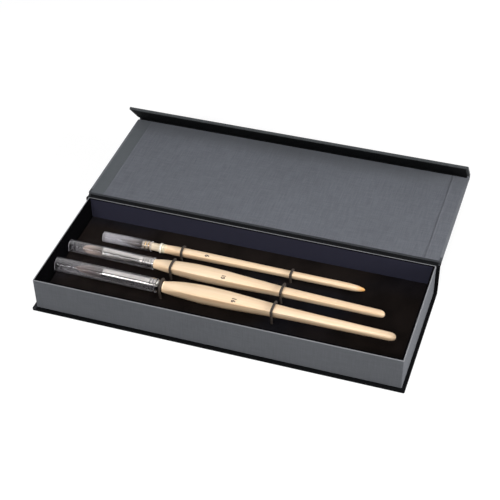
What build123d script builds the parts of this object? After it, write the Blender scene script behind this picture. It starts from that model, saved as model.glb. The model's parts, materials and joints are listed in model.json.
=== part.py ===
from build123d import *
import math
import os

os.makedirs("parts", exist_ok=True)

# A book-style presentation box for three brushes. Millimetres, +Z up, +X to the right, +Y to the back.
# The origin is the centre of the base's underside. The lid lies open to the back.

# ---- driving dimensions: boards and coverings
board = 1.7  # grey board
paper = 0.25  # cloth-faced covering paper, and the liner sheets
turn_in = 13.0  # covering folded over onto a board's inner side
liner_margin = 2.0  # covering left showing beside a liner sheet
corner_radius = 0.8
edge_radius = 0.2
wall = board + 2 * paper  # a board covered on both sides
panel = wall + paper  # lid and flap carry a liner over their turn-ins

# ---- driving dimensions: tray and case
tray_length = 290.0
tray_depth = 108.0
tray_height = 27.3
case_lip = 2.7  # the case stands out beyond the tray at the front and the ends
spine_groove = 0.8  # crease between base and spine
groove_dip = 0.55  # the cloth is pressed this far into that crease
spine_drop = 1.3  # the spine stops this far below the tray's rim
lid_rest_gap = 0.2  # closed lid above the tray's rim
flap_gap = 0.25  # closed flap in front of the tray
flap_foot_gap = 0.5  # closed flap above the base

case_length = tray_length + 2 * case_lip
case_depth = tray_depth + case_lip + wall
case_end = case_length / 2
case_front = -case_depth / 2
case_back = case_depth / 2
tray_end = tray_length / 2
tray_front = case_front + case_lip
tray_back = tray_front + tray_depth
tray_bottom = wall
rim = tray_bottom + tray_height
spine_top = rim - spine_drop
inner_end = tray_end - wall
inner_front = tray_front + wall
inner_back = tray_back - wall
tray_floor = tray_bottom + paper + board

# ---- hinge of the lid and crease of the flap: both axes run along X, given with the lid closed
hinge_setback = 1.8  # lid hinge axis behind the spine
hinge_rise = 0.5  # and above the rim
hinge_radius = 2.75
hinge_start, hinge_sweep = 210, 120  # degrees of the cloth's bend about that axis
crease_radius = 0.5  # of the liner on the inside of the crease
crease_setback = 0.6  # lid and flap boards stop this far from the crease's axis
open_angle = 180.0  # the lid, from closed to lying open
extra_fold = 41.0  # the flap leans in over the open lid, past its right angle
hinge_y = case_back + hinge_setback
hinge_z = rim + hinge_rise
crease_y = tray_front - flap_gap + crease_radius
crease_z = rim + lid_rest_gap - crease_radius
lid_depth = case_back - crease_y - crease_setback
flap_depth = crease_z - crease_setback - tray_bottom - flap_foot_gap

# ---- closing magnets
magnet_radius = 5.0
magnet_thickness = 1.0
magnet_clearance = 0.1
magnet_x = 95.0
magnet_z = 15.0

# ---- insert and its elastic loops
velvet_top = 12.2
insert_gap = 0.3
velvet = 0.8
insert_board = 1.5
groove_width = 13.0
groove_depth = 2.4
loop_head_x = 93.0  # rows of loops, from the tray's left end
loop_tail_x = 183.2
cord_radius = 1.0
cord_clearance = 0.3
cord_hole_radius = 1.25
barb_length = 9.0
barb_width = 2.2
barb_height = 1.4
barb_radius = 0.8
insert_board_top = velvet_top - velvet
insert_board_bottom = insert_board_top - insert_board

# ---- brushes: their axes run along X, give or take a degree; stations count from the tray's left end
seat_gap = 0.3  # the fattest section above the velvet
handle_roll = 8.0  # the handles' flat faces lean a little to the front
blade_roll = 30.0  # the flat brush's head is turned further that way than its handle
shell = 0.35  # sheet metal of the ferrules, wall of the quill and the tubes
corner_reach = 0.42  # centres of a handle's rounded corners from its axis, per unit of width
corner_spread = 1.68  # what those corners add to the width, per unit of their reach
side_shift = 2.5  # centres of its gently curved sides lie this many corner reaches past the axis
side_height = 0.42  # highest point of a handle section above its axis, per unit of width
side_breadth = 0.54  # widest point of it beside its axis, per unit of width
loop_bend = 0.3  # a loop's corners over such a section, per unit of width
low_corner = 0.57  # lowest point of it below its axis, per unit of width

# handle sections: distance along the tray, width, and how three-sided the section is, from 0 to 1
quill_mop = {
    "number": 1,
    "y": 24.9,
    "skew": 0.0,
    "z": velvet_top + seat_gap + 4.3,
    "handle": [
        (78.5, 7.0, 0.0),
        (86.0, 7.4, 0.5),
        (97.0, 7.3, 0.8),
        (112.0, 7.1, 0.9),
        (130.0, 6.8, 0.9),
        (150.0, 6.3, 0.9),
        (170.0, 6.0, 0.8),
        (190.0, 5.9, 0.8),
        (209.5, 5.75, 0.7),
        (229.0, 5.6, 0.5),
    ],
    "tip": [
        (229.0, 5.6, 0.5),
        (234.0, 5.1, 0.3),
        (238.5, 3.7, 0.0),
        (241.2, 1.9, 0.0),
        (241.8, 0.9, 0.0),
    ],
    "tenon": (66.0, 78.5, 2.83),
    "loops": [(7.3, True), (5.9, True)],
    "tube": (25.0, 66.6, 4.2, 0.1),
}
flat_mop = {
    "number": 2,
    "y": 1.2,
    "skew": -1.0,
    "z": velvet_top + seat_gap + low_corner * 12.9,
    "handle": [
        (77.8, 7.4, 0.0),
        (84.0, 9.0, 0.4),
        (92.0, 10.4, 0.8),
        (103.0, 11.9, 1.0),
        (117.0, 12.9, 1.0),
        (132.0, 12.4, 1.0),
        (148.0, 11.0, 1.0),
        (165.0, 9.5, 1.0),
        (183.0, 8.1, 1.0),
        (202.0, 7.5, 0.9),
        (221.0, 6.9, 0.8),
        (240.5, 6.4, 0.7),
        (260.2, 5.8, 0.6),
    ],
    "tip": [(260.2, 5.8, 0.6), (262.0, 5.0, 0.4), (263.1, 3.6, 0.2), (263.6, 2.0, 0.0)],
    "tenon": (66.2, 77.8, 3.23),
    "loops": [(10.4, True), (8.1, True)],
    "tube": (5.2, 77.2, 4.7, 0.25),
}
round_mop = {
    "number": 3,
    "y": -22.0,
    "skew": -0.5,
    "z": velvet_top + seat_gap + low_corner * 14.2,
    "handle": [
        (94.5, 8.8, 0.0),
        (102.0, 11.0, 0.6),
        (112.0, 12.8, 1.0),
        (127.0, 14.2, 1.0),
        (143.0, 13.8, 1.0),
        (160.0, 12.3, 1.0),
        (178.0, 10.5, 1.0),
        (197.0, 9.2, 1.0),
        (216.0, 8.4, 0.9),
        (235.0, 7.8, 0.8),
        (254.5, 7.1, 0.7),
        (273.7, 6.4, 0.6),
    ],
    "tip": [(273.7, 6.4, 0.6), (275.5, 5.5, 0.4), (276.7, 4.0, 0.2), (277.2, 2.2, 0.0)],
    "tenon": (80.0, 94.5, 3.93),
    "loops": [(8.6, False), (10.1, True)],
    "tube": (4.7, 88.7, 5.45, 0.35),
}
brushes = [quill_mop, flat_mop, round_mop]


def block(x0, x1, y0, y1, z0, z1):
    """An upright box between two corners."""
    return Pos((x0 + x1) / 2, (y0 + y1) / 2, (z0 + z1) / 2) * Box(x1 - x0, y1 - y0, z1 - z0)


def wide_block(half_x, y0, y1, z0, z1):
    """A box that is centred along X."""
    return block(-half_x, half_x, y0, y1, z0, z1)


def bent_strip(half_x, y, z, radius, start, sweep):
    """A strip of paper bent round an axis along X, as a sector of a thin tube."""

    def at(distance, degrees):
        angle = math.radians(degrees)
        return (-half_x, y + distance * math.cos(angle), z + distance * math.sin(angle))

    middle = start + sweep / 2
    end = start + sweep
    inside = radius - paper
    outline = [
        ThreePointArc(at(radius, start), at(radius, middle), at(radius, end)),
        Line(at(radius, end), at(inside, end)),
        ThreePointArc(at(inside, end), at(inside, middle), at(inside, start)),
        Line(at(inside, start), at(radius, start)),
    ]
    return extrude(make_face(outline), amount=2 * half_x, dir=(1, 0, 0))


# ---- case: base, spine and hinge


def base_parts():
    """The base: its board, its covering with turn-ins, and the liner sheet between them."""
    core = wide_block(case_end - paper, case_front + paper, case_back - paper, paper, wall - paper)
    liner_front = case_front + turn_in
    liner_back = case_back - turn_in
    liner = wide_block(case_end - turn_in, liner_front, liner_back, wall - paper, wall)
    cover = wide_block(case_end, case_front, case_back, 0, wall)
    cover = fillet(cover.edges().filter_by(Axis.Z), corner_radius)
    cover = fillet(cover.faces().sort_by(Axis.Z)[0].edges(), edge_radius)
    return {"base_board": core, "base_cover": cover - core - liner, "base_liner": liner}


def spine_parts():
    """The spine stands behind the tray, above the crease that joins it to the base."""
    bottom = tray_bottom + spine_groove
    core = wide_block(
        case_end - paper, tray_back + paper, case_back - paper, bottom + paper, spine_top - paper
    )
    cover = wide_block(case_end, tray_back, case_back, bottom, spine_top)
    dip = case_back - groove_dip
    crease = wide_block(case_end, dip - paper, dip, tray_bottom, bottom)
    return {"spine_board": core, "spine_cover": cover - core, "base_crease_cloth": crease}


def hinge_parts():
    """The lid's hinge: cloth outside and liner inside, both sagging between spine and lid."""
    gap = wide_block(case_end, case_back, case_back + 2 * hinge_setback, 0, rim)
    bend = (hinge_start, hinge_sweep)
    cloth = bent_strip(case_end, hinge_y, hinge_z, hinge_radius, *bend) & gap
    liner_end = case_end - liner_margin
    liner = bent_strip(liner_end, hinge_y, hinge_z, hinge_radius - paper, *bend) & gap
    over_spine = wide_block(liner_end, tray_back + paper, case_back, spine_top, spine_top + paper)
    return {"hinge_cloth": cloth, "hinge_liner": liner + over_spine}


# ---- tray


def tray_boards():
    """The floor and four walls, butted together, with pockets for magnets in the front."""
    low = tray_bottom + paper
    high = rim - paper
    end = tray_end - paper
    front = tray_front + paper
    back = tray_back - paper
    front_board = wide_block(end, front, front + board, low, high)
    depth = magnet_thickness + magnet_clearance
    pocket = Rot(90, 0, 0) * Cylinder(magnet_radius + magnet_clearance, depth)
    disc = Rot(90, 0, 0) * Cylinder(magnet_radius, magnet_thickness)
    discs = []
    for x in (-magnet_x, magnet_x):
        front_board -= Pos(x, front + depth / 2, magnet_z) * pocket
        discs.append(Pos(x, front + magnet_thickness / 2, magnet_z) * disc)
    return {
        "tray_floor_board": wide_block(end - board, front + board, back - board, low, low + board),
        "tray_front_board": front_board,
        "tray_back_board": wide_block(end, back - board, back, low, high),
        "tray_left_board": block(-end, board - end, front + board, back - board, low, high),
        "tray_right_board": block(end - board, end, front + board, back - board, low, high),
        "tray_magnets": Compound(discs),
    }


def tray_covering():
    """Cloth over the outside, the rim and the inside, turned in under the floor round a glue sheet."""
    cover = wide_block(tray_end, tray_front, tray_back, tray_bottom, rim)
    cover = fillet(cover.edges().filter_by(Axis.Z), corner_radius)
    cover = fillet(cover.faces().sort_by(Axis.Z)[-1].edges(), edge_radius)
    cover -= wide_block(
        tray_end - paper, tray_front + paper, tray_back - paper, tray_bottom + paper, rim - paper
    )
    lining = wide_block(inner_end + paper, inner_front - paper, inner_back + paper, tray_floor, rim)
    cavity = wide_block(inner_end, inner_front, inner_back, tray_bottom, rim + 1)
    glue = wide_block(
        tray_end - turn_in,
        tray_front + turn_in,
        tray_back - turn_in,
        tray_bottom,
        tray_bottom + paper,
    )
    floor_paper = wide_block(
        inner_end, inner_front, inner_back, tray_bottom, tray_bottom + paper
    )
    cover = cover - cavity + (lining - cavity) + (floor_paper - glue)
    return {"tray_cover": cover, "tray_glue_sheet": glue}


# ---- insert


def loops():
    """Each elastic loop's name, and its x and y, half-width, top and bend."""
    found = []
    for brush in brushes:
        rows = zip(("head", "tail"), (loop_head_x, loop_tail_x), brush["loops"])
        for row, x, (width, three_sided) in rows:
            side = width * (side_breadth if three_sided else 0.5)
            top = width * (side_height if three_sided else 0.5)
            off = cord_clearance + cord_radius
            bend = off + width * loop_bend if three_sided else 0.98 * (side + off)
            name = f"elastic_loop_{brush['number']}_{row}"
            y = brush["y"] + (x - tray_end) * math.tan(math.radians(brush["skew"]))
            place = (x - tray_end, y, side + off, brush["z"] + top + off, bend)
            found.append((name, place))
    return found


def elastic_loop(x, y, side, top, bend):
    """A round elastic cord that comes up through the insert, over a brush and down again."""
    foot = insert_board_bottom
    path = FilletPolyline(
        (x, y - side, foot), (x, y - side, top), (x, y + side, top), (x, y + side, foot), radius=bend
    )
    return sweep(Plane(origin=(x, y - side, foot), z_dir=(0, 0, 1)) * Circle(cord_radius), path=path)


def punched(sheet, feet):
    """A flat sheet with a round hole for each foot of each loop."""
    for x, y in feet:
        sheet -= Pos(x, y, insert_board_top) * Cylinder(cord_hole_radius, 4 * insert_board)
    return sheet


def insert_parts():
    """Foam with two cross grooves, a punched board, its velvet cover, and the loops through them."""
    end = inner_end - insert_gap
    front = inner_front + insert_gap
    back = inner_back - insert_gap
    places = loops()
    feet = [(x, y + way * side) for _, (x, y, side, _, _) in places for way in (-1, 1)]
    foam = wide_block(end, front, back, tray_floor, insert_board_bottom)
    groove_floor = insert_board_bottom - groove_depth
    for x in (loop_head_x - tray_end, loop_tail_x - tray_end):
        left = x - groove_width / 2
        foam -= block(left, left + groove_width, front, back, groove_floor, insert_board_bottom)
    core = wide_block(
        end - velvet, front + velvet, back - velvet, insert_board_bottom, insert_board_top
    )
    cover = wide_block(end, front, back, insert_board_bottom, velvet_top) - core
    barb = Box(barb_length, barb_width, barb_height)
    barb = fillet(barb.edges().filter_by(Axis.Z), barb_radius)
    barb_z = insert_board_bottom - barb_height / 2
    nodes = {
        "insert_foam": foam,
        "insert_board": punched(core, feet),
        "velvet_cover": punched(cover, feet),
        "elastic_barbs": Compound([Pos(x, y, barb_z) * barb for x, y in feet]),
    }
    for name, place in places:
        nodes[name] = elastic_loop(*place)
    return nodes


# ---- lid and flap: drawn as flat panels, set in their closed places, then turned open


def covered_panel(depth, free_edge):
    """A board, its covering and its liner. The inner face is at z 0 and y runs from the crease.

    The covering is turned in at both ends, and at the far edge too where that edge is free.
    The liner lies over the turn-ins and steps down onto the board between them.
    """
    high = panel
    far_turn = turn_in if free_edge else paper
    far_margin = liner_margin if free_edge else 0
    core = wide_block(case_end - paper, paper, depth - paper, 2 * paper, high - paper)
    cover = wide_block(case_end, 0, depth, paper, high)
    cover = fillet(cover.edges().filter_by(Axis.X), edge_radius)
    step = wide_block(case_end - turn_in, paper, depth - far_turn, paper, 2 * paper)
    sheet = wide_block(case_end - liner_margin, 0, depth - far_margin, 0, paper)
    sheet -= wide_block(
        case_end - turn_in - paper, 2 * paper, depth - far_turn - paper, 0, paper
    )
    return core, cover - core - step, sheet + step


def opened(shape):
    """Turn a piece of the closed lid about the hinge, to where it lies open."""
    return shape.rotate(Axis((0, hinge_y, hinge_z), (1, 0, 0)), -open_angle)


def folded(shape):
    """Lean a piece of the closed flap in by the extra fold."""
    return shape.rotate(Axis((0, crease_y, crease_z), (1, 0, 0)), extra_fold)


def lid_parts():
    """The lid's panel."""
    place = Pos(0, crease_y + crease_setback, rim + lid_rest_gap)
    core, cover, liner = covered_panel(lid_depth, False)
    return {
        "lid_board": opened(place * core),
        "lid_cover": opened(place * cover),
        "lid_liner": opened(place * liner),
    }


def flap_parts():
    """The flap's panel hangs from the crease, with two magnets let into its board."""
    place = Pos(0, tray_front - flap_gap, crease_z - crease_setback) * Rot(90, 0, 0) * Rot(0, 0, 180)
    core, cover, liner = covered_panel(flap_depth, True)
    down = crease_z - crease_setback - magnet_z
    depth = magnet_thickness + magnet_clearance
    pocket = Cylinder(magnet_radius + magnet_clearance, depth)
    disc = Cylinder(magnet_radius, magnet_thickness)
    discs = []
    for x in (-magnet_x, magnet_x):
        core -= Pos(x, down, 2 * paper + depth / 2) * pocket
        discs.append(opened(folded(place * Pos(x, down, 2 * paper + magnet_thickness / 2) * disc)))
    return {
        "flap_board": opened(folded(place * core)),
        "flap_cover": opened(folded(place * cover)),
        "flap_liner": opened(folded(place * liner)),
        "flap_magnets": Compound(discs),
    }


def crease_strip(half_x, radius):
    """Paper round the crease: a short flat on the lid, the bend, and a short flat on the flap."""
    bend = bent_strip(half_x, crease_y, crease_z, radius, 90, 90 + extra_fold)
    on_lid = wide_block(
        half_x, crease_y, crease_y + crease_setback, crease_z + radius - paper, crease_z + radius
    )
    on_flap = wide_block(
        half_x, crease_y - radius, crease_y - radius + paper, crease_z - crease_setback, crease_z
    )
    return opened(on_lid + bend + folded(on_flap))


def crease_parts():
    """The crease between lid and flap: cloth outside and liner inside."""
    return {
        "crease_cloth": crease_strip(case_end, crease_radius + panel),
        "crease_liner": crease_strip(case_end - liner_margin, crease_radius + paper),
    }


# ---- brushes: each is drawn along X on the origin's axis, then rolled, turned and set in place


def soft_triangle(width, three_sided):
    """A section with three gently curved sides and round corners, one corner down."""
    reach = max(corner_reach * three_sided, 0.01) * width
    corner = (width - corner_spread * reach) / 2
    shift = side_shift * reach
    side = corner + reach * math.sqrt(side_shift**2 + side_shift + 1)
    angles = [math.radians(a) for a in (-90, 30, 150)]

    def along(angle, distance):
        return Vector(0, distance * math.cos(angle), distance * math.sin(angle))

    def meeting(angle, opposite):
        centre = along(angle, reach)
        return centre + (centre - along(opposite, shift)).normalized() * corner

    outline = []
    for n in range(3):
        here, there, far = angles[n], angles[(n + 1) % 3], angles[(n + 2) % 3]
        bottom = along(here, reach + corner)
        bulge = along(far + math.pi, side - shift)
        outline.append(ThreePointArc(meeting(here, there), bottom, meeting(here, far)))
        outline.append(ThreePointArc(meeting(here, far), bulge, meeting(there, far)))
    return make_face(outline)


def oval(half_width, half_height):
    """An upright oval section, or a round one."""
    if half_width == half_height:
        return Plane.YZ * Circle(half_width)
    return Plane.YZ * Ellipse(half_width, half_height)


def turned(profile):
    """A solid turned about the X axis from points of x and radius."""
    outline = make_face(Polyline(*[(x, r, 0) for x, r in profile], close=True))
    return revolve(outline, Axis.X)


def rod(x0, x1, radius):
    """A round bar along X."""
    return Pos((x0 + x1) / 2, 0, 0) * Rot(0, 90, 0) * Cylinder(radius, x1 - x0)


def ring(x, radius, thickness):
    """A round wire bent into a ring about X."""
    return Pos(x, 0, 0) * Rot(0, 90, 0) * Torus(radius, thickness)


def handle(brush):
    """A handle: a tenon for the ferrule, a body lofted through its sections, and a rounded tip."""
    body = loft([Pos(x, 0, 0) * soft_triangle(width, way) for x, width, way in brush["handle"]])
    tip = loft([Pos(x, 0, 0) * soft_triangle(width, way) for x, width, way in brush["tip"]])
    return body + tip + rod(*brush["tenon"])


def quill_head():
    """A pointed mop in a quill that is bound with wire, with a collar where the handle begins."""
    start, narrow = 59.0, 2.95
    neck, radius = 66.0, 3.2
    end = 78.5
    wire = 0.25
    outside = [(start, narrow), (neck, radius), (end, radius)]
    quill = turned(outside + [(x, r - shell) for x, r in reversed(outside)])
    flare = (radius - narrow) / (neck - start)
    windings = []
    for x in (61.2, 61.8, 64.2, 64.8):
        windings.append(ring(x, narrow + flare * (x - start) + 1.1 * wire, wire))
    for x in (76.4, 77.0, 77.6):
        windings.append(ring(x, radius + wire, wire))
    collar = rod(73.5, 75.3, 4.1) - rod(73.0, 76.0, radius)
    collar = fillet(collar.edges().filter_by(GeomType.CIRCLE).group_by(SortBy.RADIUS)[-1], 0.6)
    belly = [(38.2, 0.0), (41.0, 1.0), (46.0, 2.1), (52.0, 2.8), (start, 2.6)]
    root = 65.0
    hair = turned(belly + [(root, 2.4), (root, 0.0)])
    return {
        "brush_1_quill": quill,
        "brush_1_windings": Compound(windings),
        "brush_1_collar": collar,
        "brush_1_hair": hair,
    }


def flat_head():
    """A flat mop with a rounded edge, in a ferrule that flares from round to flat."""
    mouth = 33.3
    neck = 66.0
    end = 77.8
    radius = 3.6
    stations = [(mouth, 4.1, 1.8), (50.0, 3.95, 2.6), (neck, radius, radius)]
    outer = loft([Pos(x, 0, 0) * oval(a, b) for x, a, b in stations])
    inner = loft([Pos(x, 0, 0) * oval(a - shell, b - shell) for x, a, b in stations])
    sleeve = rod(neck, end, radius)
    for x in (70.0, 72.2, 74.4):
        sleeve += ring(x, radius - 0.1, 0.4)
    sleeve -= rod(neck - 1, end + 1, radius - shell)
    ferrule = outer - inner + sleeve
    belly = [(15.6, 0.7, 0.2), (17.0, 2.2, 0.6), (21.0, 3.5, 1.1), (27.0, 3.9, 1.4), (mouth, 3.7, 1.4)]
    hair = loft([Pos(x, 0, 0) * oval(a, b) for x, a, b in belly])
    root = extrude(Pos(mouth, 0, 0) * oval(3.4, 1.2), amount=5, dir=(1, 0, 0))
    turned_over = Rot(blade_roll, 0, 0)
    return {"brush_2_ferrule": turned_over * ferrule, "brush_2_hair": turned_over * (hair + root)}


def round_head():
    """A large round mop in a long plain ferrule with crimped beads by the handle."""
    radius = 4.3
    mouth = 44.7
    end = 94.5
    ferrule = rod(mouth, end, radius)
    for x in (85.2, 87.6, 90.0):
        ferrule += ring(x, radius - 0.15, 0.45)
    ferrule -= rod(mouth - 1, end + 1, radius - shell)
    belly = [(19.4, 0.0), (21.0, 0.9), (25.0, 2.3), (31.0, 3.7), (38.0, 4.3), (mouth, 3.95)]
    root = 52.0
    hair = turned(belly + [(root, 3.9), (root, 0.0)])
    return {"brush_3_ferrule": ferrule, "brush_3_hair": hair}


def brush_parts():
    """The three brushes and their clear open-ended tubes."""
    nodes = {}
    for brush, head in zip(brushes, (quill_head, flat_head, round_head)):
        name = f"brush_{brush['number']}"
        place = Pos(0, brush["y"], brush["z"]) * Rot(0, 0, brush["skew"]) * Pos(-tray_end, 0, 0)
        for part, shape in {f"{name}_handle": handle(brush), **head()}.items():
            nodes[part] = place * Rot(handle_roll, 0, 0) * shape
        start, end, radius, sag = brush["tube"]
        tube = rod(start, end, radius) - rod(start - 1, end + 1, radius - shell)
        nodes[f"tube_{brush['number']}"] = Pos(0, 0, -sag) * place * tube
    return nodes


nodes = {
    **base_parts(),
    **spine_parts(),
    **hinge_parts(),
    **tray_boards(),
    **tray_covering(),
    **insert_parts(),
    **lid_parts(),
    **crease_parts(),
    **flap_parts(),
    **brush_parts(),
}
for node, shape in nodes.items():
    export_step(shape, f"parts/{node}.step")
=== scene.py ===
import json
import math

import bpy
import numpy as np
from mathutils import Matrix, Vector

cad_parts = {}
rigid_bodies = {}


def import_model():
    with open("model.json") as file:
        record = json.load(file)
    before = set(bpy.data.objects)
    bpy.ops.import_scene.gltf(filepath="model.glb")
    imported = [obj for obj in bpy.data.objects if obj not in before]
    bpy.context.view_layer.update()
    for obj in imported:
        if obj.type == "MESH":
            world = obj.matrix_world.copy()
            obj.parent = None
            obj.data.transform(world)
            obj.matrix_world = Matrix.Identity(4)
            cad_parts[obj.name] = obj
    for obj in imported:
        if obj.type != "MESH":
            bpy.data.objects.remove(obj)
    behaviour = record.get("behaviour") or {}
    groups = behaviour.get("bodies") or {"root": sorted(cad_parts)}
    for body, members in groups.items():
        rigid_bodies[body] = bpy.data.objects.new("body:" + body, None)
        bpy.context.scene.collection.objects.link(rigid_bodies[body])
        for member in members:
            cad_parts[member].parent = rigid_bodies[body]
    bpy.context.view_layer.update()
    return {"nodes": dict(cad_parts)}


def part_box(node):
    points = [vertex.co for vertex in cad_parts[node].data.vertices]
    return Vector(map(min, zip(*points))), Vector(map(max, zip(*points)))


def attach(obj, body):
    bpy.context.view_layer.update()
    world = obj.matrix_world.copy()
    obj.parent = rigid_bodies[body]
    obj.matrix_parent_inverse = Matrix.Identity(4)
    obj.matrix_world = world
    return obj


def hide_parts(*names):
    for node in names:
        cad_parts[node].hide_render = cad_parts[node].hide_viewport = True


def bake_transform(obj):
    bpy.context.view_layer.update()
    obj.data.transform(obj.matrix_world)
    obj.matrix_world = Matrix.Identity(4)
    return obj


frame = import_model()

# ---- Camera.
# A long lens looks down on the open box from the front, a little from its right.
focal_pixels, frame_pixels = 1280.64, 500
aim = Vector((0, -0.00375, 0.0122))
distance = 0.98888
azimuth, elevation, roll = (math.radians(a) for a in (19.970, 42.239, -1.741))

camera = bpy.data.objects.new("camera", bpy.data.cameras.new("camera"))
bpy.context.scene.collection.objects.link(camera)
backward = Vector(
    (
        math.sin(azimuth) * math.cos(elevation),
        -math.cos(azimuth) * math.cos(elevation),
        math.sin(elevation),
    )
)
level = Vector((0, 0, 1)).cross(backward).normalized()
turn = Matrix.Rotation(roll, 3, backward)
sideways = turn @ level
upward = backward.cross(sideways)
camera.matrix_world = Matrix.Translation(aim + distance * backward) @ Matrix(
    (sideways, upward, backward)
).transposed().to_4x4()
camera.data.lens = focal_pixels / frame_pixels * camera.data.sensor_width
camera.data.shift_x, camera.data.shift_y = 0.03305, 0.08635
camera.data.clip_start, camera.data.clip_end = 0.05, 20
bpy.context.scene.camera = camera
bpy.context.scene.view_settings.view_transform = "Standard"

# ---- Floor and light.
# The box stands on a white table in a tent of white cloth, with a large lamp on its right, two in
# front and a long one overhead. The camera sees the tent as plain white; the shiny pieces see it
# fade towards the table and the front.


def wire(tree, kind, sockets=None, **settings):
    """A shader node with its settings, and its sockets set to values or linked to outputs."""
    made = tree.nodes.new("ShaderNode" + kind)
    for key, value in settings.items():
        setattr(made, key, value)
    for key, value in (sockets or {}).items():
        if isinstance(value, bpy.types.NodeSocket):
            tree.links.new(value, made.inputs[key])
        else:
            made.inputs[key].default_value = value
    return made


def combined(tree, operation, *values):
    """The output of one Math node on values or other outputs."""
    return wire(tree, "Math", dict(enumerate(values)), operation=operation).outputs[0]


def coordinates(tree, kind="Object"):
    """Three outputs: a point's X, Y and Z, or those of the direction in which its face looks."""
    return wire(tree, "SeparateXYZ", {0: wire(tree, "TexCoord").outputs[kind]}).outputs


def seen_directly(tree):
    """1 for rays from the camera, from a shiny surface or through a clear one, else 0."""
    path = wire(tree, "LightPath").outputs
    shiny = combined(tree, "MAXIMUM", path["Is Camera Ray"], path["Is Glossy Ray"])
    return combined(tree, "MAXIMUM", shiny, path["Is Transmission Ray"])


tent = bpy.data.worlds.new("tent")
bpy.context.scene.world = tent
tent.use_nodes = True
tent_light = tent.node_tree.nodes["Background"]
tent_light.inputs["Color"].default_value = (1, 1, 1, 1)
tree = tent.node_tree
path = wire(tree, "LightPath").outputs
shiny = combined(tree, "MAXIMUM", path["Is Glossy Ray"], path["Is Transmission Ray"])
way = coordinates(tree, "Generated")
height = combined(tree, "MULTIPLY_ADD", way[1], 0.5, way[2])
mirrored = {"Value": height, "From Min": 0.5, "From Max": 0.95, "To Min": 0.09, "To Max": 1.15}
mirrored = wire(tree, "MapRange", mirrored).outputs[0]
soft = combined(tree, "MULTIPLY", combined(tree, "SUBTRACT", 1.0, shiny), 0.20)
strength = combined(tree, "MULTIPLY_ADD", shiny, mirrored, soft)
strength = combined(tree, "MAXIMUM", strength, path["Is Camera Ray"])
tree.links.new(strength, tent_light.inputs["Strength"])

table = bpy.data.meshes.new("table")
table.from_pydata([(-4, -4, 0), (4, -4, 0), (4, 4, 0), (-4, 4, 0)], [], [(0, 1, 2, 3)])
table_top = bpy.data.objects.new("table", table)
bpy.context.scene.collection.objects.link(table_top)
white = bpy.data.materials.new("white_table")
white.use_nodes = True
tree = white.node_tree
tree.nodes.remove(tree.nodes["Principled BSDF"])
paint = wire(tree, "BsdfDiffuse", {"Color": (0.22, 0.22, 0.22, 1)})
glow = wire(tree, "Emission", {"Color": (1, 1, 1, 1), "Strength": 0.84})
plain = wire(tree, "BsdfDiffuse", {"Color": (0.3, 0.3, 0.3, 1)})
lit = wire(tree, "AddShader", {0: paint.outputs[0], 1: glow.outputs[0]})
choice = wire(tree, "MixShader", {0: seen_directly(tree), 1: plain.outputs[0], 2: lit.outputs[0]})
tree.links.new(choice.outputs[0], tree.nodes["Material Output"].inputs["Surface"])
table.materials.append(white)


def lamp(name, place, size, watts, mirrored=True):
    """A rectangular softbox that faces the middle of the box; shiny pieces mirror it or don't."""
    data = bpy.data.lights.new(name, "AREA")
    data.shape = "RECTANGLE"
    data.size, data.size_y = size
    data.energy = watts
    made = bpy.data.objects.new(name, data)
    bpy.context.scene.collection.objects.link(made)
    made.location = place
    middle = Vector((0, 0.05, 0.02))
    made.rotation_euler = (middle - Vector(place)).to_track_quat("-Z", "Y").to_euler()
    made.visible_glossy = mirrored


lamp("right_lamp", (1.30, -0.06, 0.38), (0.6, 0.5), 22)
lamp("front_lamp", (-0.15, -1.12, 0.88), (1.2, 0.14), 15, mirrored=False)
lamp("low_lamp", (-0.1, -1.20, 0.60), (1.2, 0.10), 1.1)
lamp("top_lamp", (0.08, 0.0, 1.3), (1.4, 0.10), 4)

# ---- Boards.
# The case and the tray are cut from grey board, pressed from waste paper. It shows nowhere once
# the box is covered.


def finished(name, colour, rough, **sockets):
    """A new material, its node tree and its shader, with a colour, a roughness and more sockets."""
    made = bpy.data.materials.new(name)
    made.use_nodes = True
    shader = made.node_tree.nodes["Principled BSDF"]
    shader.inputs["Base Color"].default_value = (*colour, 1)
    shader.inputs["Roughness"].default_value = rough
    for key, value in sockets.items():
        shader.inputs[key.replace("_", " ")].default_value = value
    return made, made.node_tree, shader


def stretched(tree, scale, detail=4.0, shift=(0, 0, 0)):
    """Noise on Object coordinates, with its own number of waves per metre along each axis."""
    place = wire(tree, "TexCoord").outputs["Object"]
    scaled = wire(tree, "Mapping", {"Vector": place, "Scale": scale, "Location": shift})
    noise = {"Vector": scaled.outputs[0], "Scale": 1.0, "Detail": detail}
    return wire(tree, "TexNoise", noise).outputs["Fac"]


def ramp(tree, value, *stops):
    """A value turned into a colour between stops of (position, colour)."""
    made = wire(tree, "ValToRGB", {"Fac": value})
    band = made.color_ramp
    while len(band.elements) < len(stops):
        band.elements.new(0.5)
    for element, (position, colour) in zip(band.elements, stops):
        element.position = position
        element.color = (*colour, 1)
    return made.outputs["Color"]


def coloured(tree, shader, colour):
    """Links a colour to the shader's own colour."""
    tree.links.new(colour, shader.inputs["Base Color"])


def relief(tree, shader, height, depth):
    """Bump of that depth, in metres, on top of what the shader already has."""
    sockets = {"Height": height, "Distance": depth, "Strength": 1.0}
    if shader.inputs["Normal"].links:
        sockets["Normal"] = shader.inputs["Normal"].links[0].from_socket
    made = wire(tree, "Bump", sockets)
    tree.links.new(made.outputs[0], shader.inputs["Normal"])


def dress(made, *nodes):
    """Gives CAD nodes a material."""
    for node in nodes:
        for place in frame["nodes"][node].material_slots:
            place.material = made


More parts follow.
